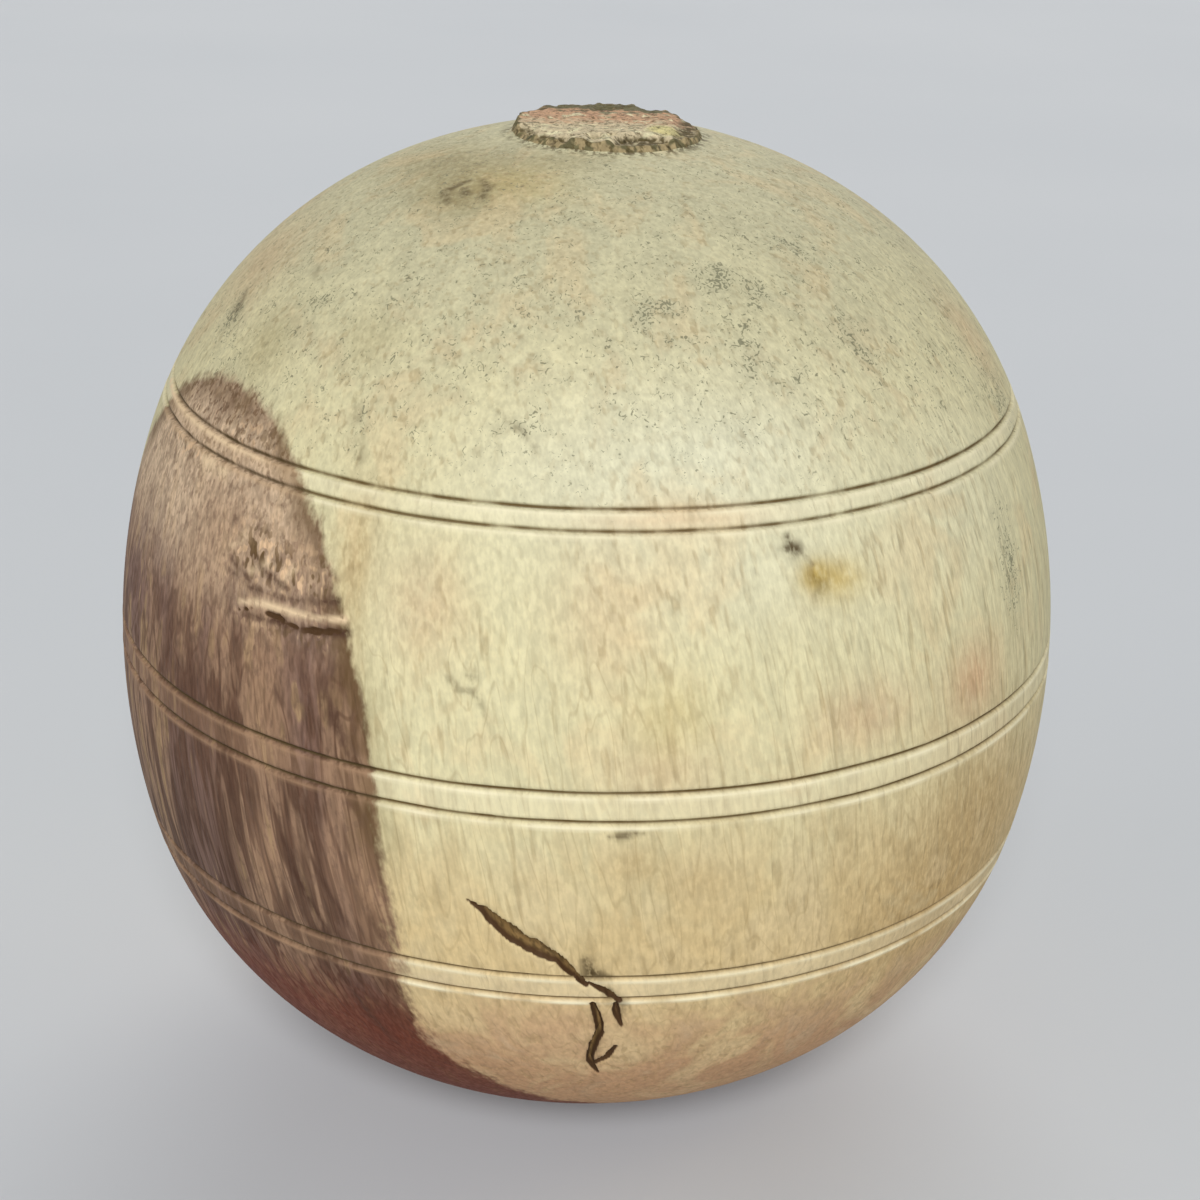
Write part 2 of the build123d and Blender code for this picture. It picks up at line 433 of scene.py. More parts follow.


# Height of the sawn end, with its chips, dents, slope, rough surface and crumbled front rim
def nibEndHeight(x, y):
    drop = np.zeros(len(x))
    for turn, radius, out in nibShape["chips"]:
        reach = nibShape["radius"] + out
        gap = np.hypot(x - reach * sin(radians(turn)), y + reach * cos(radians(turn)))
        drop += smooth(radius + 0.3, radius - 0.9, gap) * (nibShape["endHeight"] - nibShape["chipFloor"])
    flat = np.stack([x, y, 0 * x], axis=-1)
    for dentX, dentY, radius, depth in nibShape["dents"]:
        gap = np.hypot(x - dentX, (y - dentY) * 0.8) * (1 + 0.4 * noiseAt(flat, 0.8, seed=43))
        drop += depth * smooth(radius, 0.3 * radius, gap)
    slopeStart = nibShape["radius"] - nibShape["slopeRun"]
    drop += np.maximum(x - slopeStart, 0.0) * nibShape["slopeDrop"] / nibShape["slopeRun"]
    rough = 0.5 - 0.5 * (noiseAt(flat, 1.6, seed=41) + noiseAt(flat, 0.6, seed=42))
    drop += nibShape["roughness"] * np.maximum(rough, 0.0)
    nearRim = smooth(nibShape["radius"] - nibShape["crumbleReach"], nibShape["radius"], np.hypot(x, y))
    nearRim *= smooth(3.0, -2.0, y)
    drop += nibShape["crumble"] * nearRim * np.maximum(0.35 + noiseAt(flat, 1.3, seed=44), 0.0)
    floor = nibShape["chipFloor"] + 0.15 * (1 + noiseAt(flat, 0.8, seed=45))
    return np.maximum(nibShape["endHeight"] - drop, floor)


def crownHeightAt(radius):
    centreZ, crownRadius = arcs[0][1], arcs[0][2]
    return centreZ + np.sqrt(crownRadius ** 2 - radius ** 2)


# Places the nib's rows: the wall between foot and rim, then the sawn end
def nibPoints(turn, along):
    wallShare = np.clip(nibFootAlong - along, 0.0, 1.0)
    endShare = np.clip(nibFootAlong - 1.0 - along, 0.0, 1.0)
    sideX, sideY = np.sin(np.radians(turn)), -np.cos(np.radians(turn))
    ring = np.stack([sideX, sideY, 0 * sideX], axis=-1)
    splinter = noiseAt(ring, 0.13, seed=51) - 0.4 + 0.6 * noiseAt(ring, 0.05, seed=52)
    rim = nibShape["radius"] + nibShape["splinters"] * np.minimum(splinter, 0.0)
    onEnd = endShare > 0
    radius = np.where(onEnd, rim * (1 - endShare), nibFoot + wallShare * (rim - nibFoot))
    x, y = radius * sideX, radius * sideY
    footHeight = crownHeightAt(np.hypot(nibFoot * sideX + nibShape["offset"], nibFoot * sideY))
    endHeight = nibEndHeight(np.where(onEnd, x, rim * sideX), np.where(onEnd, y, rim * sideY))
    height = np.where(onEnd, endHeight, footHeight + wallShare * (endHeight - footHeight))
    return np.stack([x + nibShape["offset"], y, height], axis=-1)


# Heartwood: a dark column that runs through the ball at a slant
heartwood = {
    "through": (-31.69, -22.21, 0.0),
    "direction": (-0.75, -0.471, 1.0),
    "radius": 21.53,
}


# How far inside the heartwood each point is, below nought in the sapwood
def heartDepth(points):
    direction = np.array(heartwood["direction"]) / np.linalg.norm(heartwood["direction"])
    offset = points - np.array(heartwood["through"])
    away = offset - np.outer(offset @ direction, direction)
    return heartwood["radius"] - np.linalg.norm(away, axis=1)


# Stains on the surface: turn, height, half width, half height and strength
stains = {
    "mouldPatch": (
        (10.6, 33.6, 2.4, 2.6, 1.0),
        (22.6, 35.7, 2.0, 1.8, 0.9),
        (44.1, 36.9, 2.4, 1.8, 1.0),
        (30.0, 34.6, 2.2, 1.8, 0.8),
        (23.5, 31.8, 2.2, 2.8, 0.8),
        (25.5, 29.4, 2.6, 1.5, 0.8),
        (43.0, 31.0, 1.7, 3.2, 0.8),
        (62.0, 28.5, 4.0, 4.0, 0.5),
        (72.0, 24.0, 3.0, 4.0, 0.8),
        (59.5, 13.0, 2.0, 5.0, 0.7),
        (-69.0, 29.5, 2.5, 2.5, 0.9),
        (-49.0, 32.2, 2.0, 1.4, 0.8),
        (-60.0, 26.5, 6.0, 2.5, 0.5),
        (-31.0, 25.8, 1.2, 3.0, 0.6),
        (-45.4, 35.7, 1.2, 0.8, 0.7),
        (-14.5, 38.6, 2.4, 1.2, 0.5),
        (-9.5, 27.0, 3.0, 1.2, 0.6),
    ),
    "pinkPatch": (
        (10.5, 21.7, 6.0, 0.9, 0.7),
        (-18.0, 15.0, 3.0, 4.0, 0.5),
        (2.3, 15.3, 4.0, 5.0, 0.35),
        (8.0, 4.0, 5.0, 2.5, 0.4),
        (31.7, 6.2, 4.5, 2.6, 0.6),
        (49.1, 5.9, 3.4, 3.0, 0.9),
        (-1.8, -20.5, 7.0, 4.5, 0.8),
        (-78.0, 32.0, 6.0, 5.0, 0.5),
        (75.0, 28.0, 3.0, 4.0, 0.5),
    ),
    "ochrePatch": (
        (-27.0, 17.0, 2.0, 6.0, 0.6),
        (30.0, -5.0, 12.0, 8.0, 0.2),
        (52.0, -6.0, 10.0, 9.0, 0.7),
        (47.0, -14.0, 10.0, 6.0, 0.8),
        (12.0, -9.0, 6.0, 4.0, 0.15),
        (5.7, -3.4, 2.6, 1.4, 0.5),
        (12.8, -4.9, 2.4, 1.6, 0.4),
        (-4.0, -5.0, 3.0, 1.2, 0.25),
    ),
    "olivePatch": (
        (-56.0, 40.3, 8.0, 4.0, 0.8),
        (-40.0, 39.2, 4.0, 2.6, 0.8),
        (-54.0, 28.5, 3.0, 3.5, 0.5),
        (-35.0, 31.0, 3.0, 2.5, 0.35),
        (-20.0, 41.3, 5.0, 2.0, 0.5),
    ),
    "yellowPatch": (
        (26.4, 17.0, 1.3, 1.1, 1.0),
        (29.2, 16.6, 1.8, 1.3, 0.6),
        (30.0, 16.2, 3.0, 1.6, 0.3),
        (9.1, 8.0, 3.0, 3.0, 0.35),
        (-25.0, 40.3, 4.0, 2.5, 0.4),
    ),
    "palePatch": (
        (15.0, 25.5, 11.0, 6.0, 0.9),
        (-2.0, 24.0, 8.0, 5.0, 0.5),
        (20.0, 18.0, 10.0, 5.0, 0.5),
        (50.0, 20.0, 9.0, 7.0, 0.4),
    ),
    "darkPatch": (
        (-51.0, 3.0, 6.0, 5.0, 0.9),
        (-42.3, 1.5, 0.9, 6.5, 1.0),
        (-27.0, 13.5, 1.0, 2.8, 0.9),
        (-28.5, 4.5, 1.2, 6.5, 0.6),
        (-23.5, -22.0, 6.0, 6.0, 1.0),
        (-55.0, 24.8, 7.0, 1.5, 0.7),
        (-44.0, -10.0, 1.5, 7.0, 0.6),
        (-34.0, -2.0, 1.0, 7.0, 0.6),
        (-29.6, 13.6, 1.5, 1.6, 0.9),
        (-26.4, 8.6, 1.1, 2.6, 0.9),
        (-32.2, 17.9, 1.0, 1.8, 0.6),
    ),
    "tornPatch": (
        (-41.0, 15.6, 3.0, 2.4, 1.0),
        (-35.0, 15.0, 2.6, 1.8, 0.9),
        (-31.0, 15.5, 1.4, 2.6, 0.7),
        (-35.0, 11.0, 6.0, 0.9, 0.6),
        (-60.0, 20.2, 7.0, 0.8, 0.7),
        (-47.0, 23.2, 4.0, 1.2, 0.6),
    ),
    "tanPatch": (
        (-37.0, 5.0, 2.3, 6.0, 0.9),
        (-37.5, -9.0, 2.0, 5.0, 0.7),
        (-47.0, 16.0, 5.0, 4.0, 0.6),
        (-34.0, 16.0, 3.0, 3.0, 0.5),
        (-28.0, -6.0, 0.8, 6.0, 0.6),
        (-23.0, -9.0, 3.4, 6.0, 0.9),
        (-20.5, -14.0, 2.6, 3.0, 0.8),
    ),
}


def stainMask(points, spots):
    clear = np.ones(len(points))
    for turn, height, halfWidth, halfHeight, strength in spots:
        along = alongAtHeight(height)
        centre = ballPoint(turn, along)
        down = ballPoint(turn, along + 0.1) - centre
        down = down / np.linalg.norm(down)
        across = np.array([cos(radians(turn)), sin(radians(turn)), 0.0])
        gap = ((points - centre) @ across / halfWidth) ** 2 + ((points - centre) @ down / halfHeight) ** 2
        sameSide = np.linalg.norm(points - centre, axis=1) < 60.0  # leaves out the far side of the ball
        clear *= 1 - strength * np.exp(-gap) * sameSide
    return 1 - clear


# Turns the flat sheet into the ball, and works out what each point carries for the wood's colour
def shapeBall(turn, along):
    radius, height, normal = outlineAt(np.maximum(along, 0.0))
    sideX, sideY = np.sin(np.radians(turn)), -np.cos(np.radians(turn))
    points = np.stack([sideX * radius, sideY * radius, height], axis=-1)
    outward = np.stack([sideX * np.sin(normal), sideY * np.sin(normal), np.cos(normal)], axis=-1)
    onNib = along < nibFootAlong - 1e-6
    onEnd = along < nibFootAlong - 1.0 - 1e-6
    lines, shades, lips = lineDepths(along, points)
    cracks, crackShades = crackDepths(turn, along, points)
    wobble = ballShape["wobble"] * (noiseAt(points, ballShape["wobbleSize"], seed=1) - 1)
    settle = smooth(nibFoot + nibShape["settle"], nibFoot, radius)
    lift = wobble * (1 - settle) + scoredLines["burr"] * lips - np.maximum(lines, cracks)
    placed = points + outward * lift[:, None]
    nearNib = (radius < nibFoot + nibShape["settle"]) & (height > 0)
    shifted = placed[:, 0] + nibShape["offset"] * settle
    crown = crownHeightAt(np.minimum(np.hypot(shifted, placed[:, 1]), nibFoot + nibShape["settle"] + 1))
    placed[:, 0] = np.where(nearNib, shifted, placed[:, 0])
    placed[:, 2] = np.where(nearNib, crown * settle + placed[:, 2] * (1 - settle), placed[:, 2])
    placed[onNib] = nibPoints(turn[onNib], along[onNib])
    carried = {
        # Painted shade in the scored lines and painted highlight on the edges under them
        "linePaintedShade": shades * ~onNib,
        "lineLipHighlight": lips * ~onNib,
        "lineBand": betweenLines(along) * ~onNib,
        "crackDepth": crackShades * ~onNib,
        "darkMark": markStrengths(turn, along, darkMarks) * ~onNib,
        "lightMark": markStrengths(turn, along, lightMarks) * ~onNib,
        "nibEnd": onEnd * 1.0,
        # Where the ring of painted shade round the nib's foot falls
        "nibFoot": np.exp(-((along - nibFootAlong) / nibShape["footShade"]) ** 2),
        "heartDepth": heartDepth(placed),
    }
    for name, spots in stains.items():
        carried[name] = stainMask(placed, spots)
    return placed, carried, onNib


def buildBall():
    sheet = flatSheet()
    flat = np.array([vert.co[:] for vert in sheet.verts])
    placed, carried, onNib = shapeBall(flat[:, 0], flat[:, 1])
    for vert, place in zip(sheet.verts, placed * mm):
        vert.co = place
    for face in sheet.faces:
        face.material_index = int(all(onNib[vert.index] for vert in face.verts))
    bmesh.ops.triangulate(sheet, faces=[face for face in sheet.faces if len(face.verts) > 4])
    bmesh.ops.recalc_face_normals(sheet, faces=sheet.faces)
    mesh = bpy.data.meshes.new("turnedBall")
    sheet.to_mesh(mesh)
    sheet.free()
    for name, values in carried.items():
        mesh.attributes.new(name, "FLOAT", "POINT").data.foreach_set("value", values.astype(np.float32))
    mesh.shade_smooth()
    triangles = sum(len(face.vertices) - 2 for face in mesh.polygons)
    print("ball mesh:", len(mesh.vertices), "points,", triangles, "triangles")
    return addObject("turnedBall", mesh)


# Makes a node, sets its properties, and sets or links its inputs
def addNode(tree, kind, inputs=None, **settings):
    made = tree.nodes.new(kind)
    for name, value in settings.items():
        setattr(made, name, value)
    for name, value in (inputs or {}).items():
        plug(tree, made.inputs[name], value)
    return made


def plug(tree, socket, value):
    if isinstance(value, bpy.types.NodeSocket):
        tree.links.new(value, socket)
    else:
        socket.default_value = value


def calc(tree, operation, *values):
    made = addNode(tree, "ShaderNodeMath", operation=operation)
    for socket, value in zip(made.inputs, values):
        plug(tree, socket, value)
    return made.outputs[0]


def times(tree, value, *others):
    for other in others:
        value = calc(tree, "MULTIPLY", value, other)
    return value


def mix(tree, share, first, second):
    made = addNode(tree, "ShaderNodeMix", data_type="RGBA")
    for index, value in ((0, share), (6, first), (7, second)):
        plug(tree, made.inputs[index], value)
    return made.outputs[2]


def remap(tree, value, low, high, toLow=0.0, toHigh=1.0):
    inputs = {"Value": value, "From Min": low, "From Max": high, "To Min": toLow, "To Max": toHigh}
    return addNode(tree, "ShaderNodeMapRange", inputs, interpolation_type="SMOOTHSTEP").outputs[0]


def stretched(tree, vector, scale):
    made = addNode(tree, "ShaderNodeVectorMath", operation="MULTIPLY")
    plug(tree, made.inputs[0], vector)
    plug(tree, made.inputs[1], scale)
    return made.outputs[0]


def noiseNode(tree, vector, detail=2.0, roughness=0.5, distortion=0.0):
    inputs = {"Vector": vector, "Scale": 1.0, "Detail": detail, "Roughness": roughness}
    inputs["Distortion"] = distortion
    return addNode(tree, "ShaderNodeTexNoise", inputs).outputs[0]


def carriedValue(tree, name):
    return addNode(tree, "ShaderNodeAttribute", attribute_name=name).outputs["Fac"]


# The colour times a grey, so that a value above one lightens and below one darkens
def shaded(tree, colour, grey):
    made = addNode(tree, "ShaderNodeVectorMath", operation="SCALE")
    plug(tree, made.inputs[0], colour if isinstance(colour, bpy.types.NodeSocket) else colour[:3])
    plug(tree, made.inputs["Scale"], grey)
    return made.outputs[0]


def newGroup(name, inputs, outputs):
    group = bpy.data.node_groups.new(name, "ShaderNodeTree")
    for label, kind, value in inputs:
        socket = group.interface.new_socket(label, in_out="INPUT", socket_type=kind)
        if value is not None:
            socket.default_value = value
    for label, kind in outputs:
        group.interface.new_socket(label, in_out="OUTPUT", socket_type=kind)
    return group, group.nodes.new("NodeGroupInput").outputs, group.nodes.new("NodeGroupOutput").inputs


# Noises of the wood, drawn out along the fibres or even: scale, detail, roughness and distortion
woodNoises = {
    "Bands": ("long", (0.30, 0.30, 0.30), 2.0, 0.5),
    "Streaks": ("long", (1.1, 1.1, 1.1), 2.0, 0.55),
    "Ticks": ("long", (1.7, 1.7, 1.6), 1.0, 0.6),
    "Fibres": ("long", (3.0, 3.0, 2.4), 1.0, 0.6),
    "Mottle": ("even", (1.9, 1.9, 1.0), 2.0, 0.6),
    "Flecks": ("even", (1.6, 1.6, 0.8), 1.0, 0.6),
    "Blotch": ("even", (0.16, 0.16, 0.10), 3.0, 0.6, 0.8),
}


# Fibre of the wood: grain comes in millimetres with the fibres along Z
def fibreGroup():
    scalar = "NodeSocketFloat"
    group, given, result = newGroup(
        "woodFibre",
        [("Grain", "NodeSocketVector", None), ("Length", scalar, 12.0), ("Width", scalar, 1.0)],
        [(name, scalar) for name in (*woodNoises, "Height")],
    )
    shorter = calc(group, "DIVIDE", 1.0, given["Length"])
    narrower = calc(group, "DIVIDE", 1.0, given["Width"])
    squash = addNode(group, "ShaderNodeCombineXYZ", {"X": narrower, "Y": narrower, "Z": shorter}).outputs[0]
    grain = stretched(group, given["Grain"], squash)
    made = {}
    for name, (vector, scale, *settings) in woodNoises.items():
        vector = given["Grain"] if vector == "even" else grain
        made[name] = noiseNode(group, stretched(group, vector, scale), *settings)
    made["Ticks"] = remap(group, made["Ticks"], 0.53, 0.72)
    rough = calc(group, "ADD", made["Fibres"], times(group, made["Mottle"], 0.8))
    made["Height"] = calc(group, "SUBTRACT", rough, made["Ticks"])
    for name, socket in made.items():
        group.links.new(socket, result[name])
    return group


# Mould and dirt: small worm-like specks that gather where a patch says
def speckGroup():
    scalar = "NodeSocketFloat"
    group, given, result = newGroup(
        "mouldSpecks",
        [("Grain", "NodeSocketVector", None), ("Patch", scalar, 0.0), ("Cover", scalar, 0.5)],
        [("Specks", scalar), ("Haze", scalar)],
    )
    fine = noiseNode(group, stretched(group, given["Grain"], (2.3, 2.3, 2.0)), 1.0, 0.5, 1.8)
    broad = noiseNode(group, stretched(group, given["Grain"], (0.45, 0.45, 0.35)), 2.0, 0.5)
    reach = times(group, given["Patch"], remap(group, broad, 0.28, 0.55))
    level = calc(group, "SUBTRACT", 0.70, times(group, reach, given["Cover"]))
    specks = times(group, calc(group, "SUBTRACT", fine, level), 12.0)
    specks = addNode(group, "ShaderNodeClamp", {"Value": specks}).outputs[0]
    group.links.new(times(group, specks, remap(group, reach, 0.02, 0.25)), result["Specks"])
    group.links.new(reach, result["Haze"])
    return group


def newMaterial(name):
    material = bpy.data.materials.new(name)
    material.use_nodes = True
    return material, material.node_tree


# Joins the colour, the roughness and the height of the fibres to the shader
def finishWood(tree, look, colour, roughness, height):
    shader = tree.nodes["Principled BSDF"]
    plug(tree, shader.inputs["Base Color"], colour)
    plug(tree, shader.inputs["Roughness"], roughness)
    plug(tree, shader.inputs["Specular IOR Level"], look["specular"])
    bump = {"Strength": look["bump"], "Distance": look["bumpHeight"], "Height": height}
    plug(tree, shader.inputs["Normal"], addNode(tree, "ShaderNodeBump", bump).outputs[0])


def useGroup(tree, group, inputs):
    made = addNode(tree, "ShaderNodeGroup", node_tree=group)
    for name, value in inputs.items():
        plug(tree, made.inputs[name], value)
    return made.outputs


# Coordinates in millimetres, turned so that the fibres run along Z
def grainVector(tree, lean):
    place = addNode(tree, "ShaderNodeTexCoord").outputs["Object"]
    made = addNode(tree, "ShaderNodeMapping", {"Vector": place})
    made.inputs["Rotation"].default_value = (0.0, radians(lean), 0.0)
    made.inputs["Scale"].default_value = (1 / mm, 1 / mm, 1 / mm)
    return made.outputs[0]


def placeInMm(tree):
    place = addNode(tree, "ShaderNodeTexCoord").outputs["Object"]
    return addNode(tree, "ShaderNodeSeparateXYZ", {"Vector": stretched(tree, place, (1 / mm,) * 3)}).outputs


def paint(red, green, blue):
    shares = [channel / 255 for channel in (red, green, blue)]
    linear = [c / 12.92 if c <= 0.04045 else ((c + 0.055) / 1.055) ** 2.4 for c in shares]
    return (*linear, 1.0)


sapwoodLook = {
    "crown": paint(204, 198, 162),
    "middle": paint(220, 211, 168),
    # low and base: partly the wood's own tone, partly painted warm bounce light and painted shade low down
    "low": paint(216, 192, 142),
    "base": paint(190, 150, 112),
    "pale": paint(226, 224, 196),
    "pinkPatch": paint(208, 170, 130),
    "ochrePatch": paint(184, 152, 100),
    "olivePatch": paint(158, 143, 100),
    "yellowPatch": paint(196, 166, 84),
    "mould": paint(150, 150, 126),
    "speck": paint(112, 112, 88),
    "grain": paint(150, 126, 82),
    "warm": paint(222, 196, 150),
    "cool": paint(212, 207, 172),
    "warmth": 0.35,  # how far the blotches go towards warm and cool
    "tick": 0.34,  # how strong the short streaks of the grain are
    "streak": 0.07,  # how much darker the long ones are
    "line": 0.20,  # how strong the thin lines of the grain are
}

heartwoodLook = {
    "upper": paint(218, 192, 160),
    "middle": paint(172, 138, 110),
    "deep": paint(98, 68, 50),
    "purple": paint(134, 104, 90),
    "tan": paint(166, 132, 102),
    "ochre": paint(186, 154, 112),
    "edge": paint(104, 80, 48),
    "flake": paint(226, 190, 150),
    "red": paint(136, 66, 42),
    "streak": 0.85,  # how strong the bold streaks are
    "ochreStreak": 0.70,
    "line": 0.75,
    "tick": 0.45,
    "blotch": 0.35,
    "reddest": 0.80,
    "lift": 0.40,  # how far the tan strips low down are lifted out of the painted shade
}

markLook = {
    # The line colour is painted shade in the scored lines; the lip colours are painted highlight under them
    "line": paint(98, 78, 42),
    "lip": paint(250, 240, 204),
    "heartLipHighlight": paint(206, 174, 136),
    "crackRim": paint(76, 52, 28),
    "crackBed": paint(130, 103, 62),
    "stain": paint(78, 62, 34),
    "heartStain": paint(72, 46, 32),
    "flake": paint(236, 208, 168),
}

woodFinish = {
    "fibreLean": 10.2,  # degrees that the fibres lean to the side
    "fibreLength": 9.0,
    "coarseLength": 16.0,
    "coarseWidth": 1.7,
    "mouldCover": 0.26,
    "crownSpecks": 0.30,  # a few specks all over the crown
    "haze": 0.28,
    "specks": 0.75,
    "band": 0.22,  # how far the strip between the lines of a pair is worn light
    "beside": 0.4,  # how much painted highlight the strip between the lines of a pair gets
    "roughest": 0.84,
    "smoothest": 0.66,
    "specular": 0.25,
    "bump": 0.6,
    "bumpHeight": 0.00006,
}


def sapwoodColour(tree, fibre, height):
    look = sapwoodLook
    drift = remap(tree, fibre["Blotch"], 0.3, 0.7, -4.0, 4.0)
    level = calc(tree, "ADD", height, drift)
    colour = mix(tree, remap(tree, level, 24.0, 38.0), look["middle"], look["crown"])
    # Warmer and darker towards the bottom: partly the wood's own tone, partly painted bounce light and
    # painted shade
    colour = mix(tree, remap(tree, level, 4.0, -13.0), colour, look["low"])
    colour = mix(tree, remap(tree, level, -14.0, -27.0), colour, look["base"])
    colour = mix(tree, times(tree, carriedValue(tree, "palePatch"), 0.8), colour, look["pale"])
    patchy = remap(tree, fibre["Mottle"], 0.25, 0.60, 0.70, 1.0)
    for stain in ("ochrePatch", "pinkPatch", "olivePatch", "yellowPatch"):
        colour = mix(tree, times(tree, carriedValue(tree, stain), patchy), colour, look[stain])
    warm = remap(tree, fibre["Blotch"], 0.50, 0.68, 0.0, look["warmth"])
    colour = mix(tree, warm, colour, look["warm"])
    cool = remap(tree, fibre["Blotch"], 0.48, 0.32, 0.0, 0.5 * look["warmth"])
    colour = mix(tree, cool, colour, look["cool"])
    dense = remap(tree, fibre["Blotch"], 0.35, 0.60, 0.3 * look["tick"], look["tick"])
    colour = mix(tree, times(tree, fibre["Ticks"], dense), colour, look["grain"])
    contour = calc(tree, "PINGPONG", fibre["Bands"], 0.06)
    lines = times(tree, remap(tree, contour, 0.012, 0.002), remap(tree, height, 20.0, 8.0))
    colour = mix(tree, times(tree, lines, look["line"]), colour, look["grain"])
    bands = remap(tree, fibre["Bands"], 0.35, 0.68, 1.02, 0.965)
    streaks = remap(tree, fibre["Streaks"], 0.45, 0.70, 1.0, 1.0 - look["streak"])
    fibres = remap(tree, fibre["Fibres"], 0.35, 0.68, 1.04, 0.94)
    mottle = remap(tree, fibre["Mottle"], 0.35, 0.65, 1.05, 0.93)
    return shaded(tree, colour, times(tree, bands, streaks, fibres, mottle))


# The coarse fibre gives the bold streaks, the other the thin ones between them
def heartwoodColour(tree, coarse, fibre, height):
    look = heartwoodLook
    strong = remap(tree, height, 15.0, 3.0, 0.25, 1.0)  # the streaks are strongest low down
    colour = mix(tree, remap(tree, coarse["Bands"], 0.42, 0.58), look["middle"], look["purple"])
    colour = mix(tree, remap(tree, height, 8.0, 17.0, 0.0, 0.85), colour, look["upper"])
    colour = mix(tree, carriedValue(tree, "tanPatch"), colour, look["tan"])
    streaks = remap(tree, coarse["Streaks"], 0.51, 0.57)
    strong = times(tree, strong, remap(tree, carriedValue(tree, "tanPatch"), 0.0, 1.0, 1.0, 0.45))
    colour = mix(tree, times(tree, streaks, strong, look["streak"]), colour, look["deep"])
    ochre = remap(tree, coarse["Streaks"], 0.44, 0.36)
    colour = mix(tree, times(tree, ochre, strong, look["ochreStreak"]), colour, look["ochre"])
    contour = calc(tree, "PINGPONG", coarse["Bands"], 0.05)
    lines = times(tree, remap(tree, contour, 0.011, 0.002), strong)
    colour = mix(tree, times(tree, lines, look["line"]), colour, look["deep"])
    colour = mix(tree, times(tree, fibre["Ticks"], strong, look["tick"]), colour, look["deep"])
    blotches = remap(tree, fibre["Mottle"], 0.50, 0.66, 0.0, look["blotch"])
    colour = mix(tree, blotches, colour, look["purple"])
    olive = times(tree, remap(tree, fibre["Mottle"], 0.52, 0.62), remap(tree, height, 16.0, 26.0, 0.15, 0.65))
    colour = mix(tree, olive, colour, look["edge"])
    dark = times(tree, carriedValue(tree, "darkPatch"), remap(tree, fibre["Streaks"], 0.35, 0.55, 0.5, 0.95))
    colour = mix(tree, dark, colour, look["deep"])
    # Torn places: light flakes, with painted shade in the sunken places between them
    torn = carriedValue(tree, "tornPatch")
    raised = times(tree, torn, remap(tree, fibre["Flecks"], 0.55, 0.64))
    colour = mix(tree, raised, colour, look["flake"])
    sunkenShade = times(tree, torn, remap(tree, fibre["Flecks"], 0.46, 0.38))
    colour = mix(tree, sunkenShade, colour, look["edge"])
    colour = mix(tree, remap(tree, height, -15.0, -24.0, 0.0, look["reddest"]), colour, look["red"])
    # Darker towards the bottom: painted shade, lifted again on the low tan strips
    lower = times(tree, remap(tree, height, 15.0, 9.0, 1.0, 0.88), remap(tree, height, 2.0, -12.0, 1.0, 0.76))
    lift = times(tree, carriedValue(tree, "tanPatch"), remap(tree, height, 0.0, -8.0, 0.0, look["lift"]))
    lower = times(tree, lower, calc(tree, "ADD", 1.0, lift))
    return shaded(tree, colour, times(tree, lower, remap(tree, fibre["Fibres"], 0.35, 0.66, 1.12, 0.82)))


# Mould and dirt over the sapwood
def mouldOver(tree, colour, specks, grain, height):
    finish = woodFinish
    spread = remap(tree, height, 16.0, 30.0, 0.0, finish["crownSpecks"])
    patch = calc(tree, "MAXIMUM", carriedValue(tree, "mouldPatch"), spread)
    mould = useGroup(tree, specks, {"Grain": grain, "Patch": patch, "Cover": finish["mouldCover"]})
    colour = mix(tree, times(tree, mould["Haze"], finish["haze"]), colour, sapwoodLook["mould"])
    return mix(tree, times(tree, mould["Specks"], finish["specks"]), colour, sapwoodLook["speck"])


# The heartwood's edge follows the fibres, so it is ragged low down and rounder at the top
def raggedDepth(tree, wood, height):
    ragged = calc(tree, "ADD", times(tree, wood["Bands"], 3.0), times(tree, wood["Streaks"], 1.2))
    ragged = times(tree, calc(tree, "SUBTRACT", ragged, 2.1), remap(tree, height, 26.0, 8.0, 0.35, 1.0))
    soft = times(tree, calc(tree, "SUBTRACT", wood["Mottle"], 0.5), 1.2)
    return calc(tree, "ADD", carriedValue(tree, "heartDepth"), calc(tree, "ADD", ragged, soft))


# Lays the heartwood over the sapwood, with a dark edge inside and an olive shade outside
def heartOver(tree, sapwood, heart, wood, depth, height):
    patchy = remap(tree, wood["Blotch"], 0.38, 0.56, 0.35, 1.0)
    fade = remap(tree, height, -2.0, -10.0, 0.75, 0.10)
    edge = times(tree, remap(tree, depth, 2.8, 0.2), patchy, fade)
    heart = mix(tree, edge, heart, heartwoodLook["edge"])
    below = remap(tree, height, 13.0, 7.0, 0.0, woodFinish["beside"])
    above = remap(tree, height, -7.0, -2.0)
    beside = times(tree, remap(tree, depth, -3.2, -0.4), below, above)
    sapwood = mix(tree, beside, sapwood, sapwoodLook["olivePatch"])
    inHeart = remap(tree, depth, -0.7, 0.5)
    return mix(tree, inHeart, sapwood, heart), inHeart


# The scored lines: painted shade in the cut, a painted highlight along the edge under it and a little between
# each pair
def linesOver(tree, colour, inHeart, height):
    heartHighlight = mix(tree, remap(tree, height, 18.0, 8.0), markLook["heartLipHighlight"], heartwoodLook["tan"])
    lip = mix(tree, inHeart, markLook["lip"], heartHighlight)
    colour = mix(tree, times(tree, carriedValue(tree, "lineBand"), woodFinish["band"]), colour, lip)
    colour = mix(tree, carriedValue(tree, "lineLipHighlight"), colour, lip)
    lineColour = mix(tree, inHeart, markLook["line"], shaded(tree, markLook["line"], 0.6))
    return mix(tree, remap(tree, carriedValue(tree, "linePaintedShade"), 0.0, 0.85), colour, lineColour)
